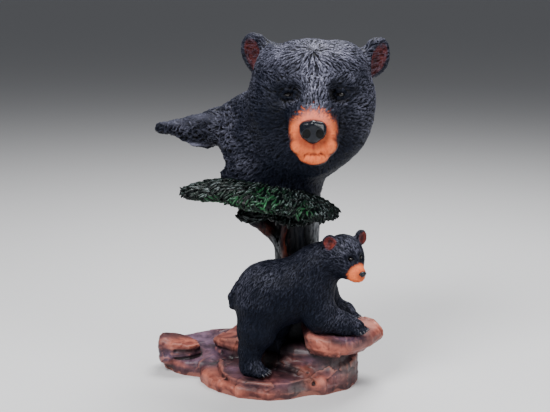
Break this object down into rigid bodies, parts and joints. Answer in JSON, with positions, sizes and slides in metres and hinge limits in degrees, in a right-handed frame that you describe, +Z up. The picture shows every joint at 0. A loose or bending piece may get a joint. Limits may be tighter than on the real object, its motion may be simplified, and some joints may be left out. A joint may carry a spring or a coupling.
{
  "type": "bear figurine",
  "caption": "Cast resin figurine of a black bear's bust on a tree trunk with a pine bough, above a cub with its forepaws on a rock ledge.",
  "frame": {"origin": "centre of the bounding box in plan, on the flat underside", "axes": "+Z up, and the longest extent; the big bear faces -Y; the cub's head is towards +X"},
  "size_m": [0.178, 0.14, 0.261],
  "materials": {
    "black_paint": "satin black paint over cast resin, drybrushed in grey on the carving"
  },
  "bodies": {
    "root": {"bear_figurine": "black_paint"}
  },
  "joints": []
}
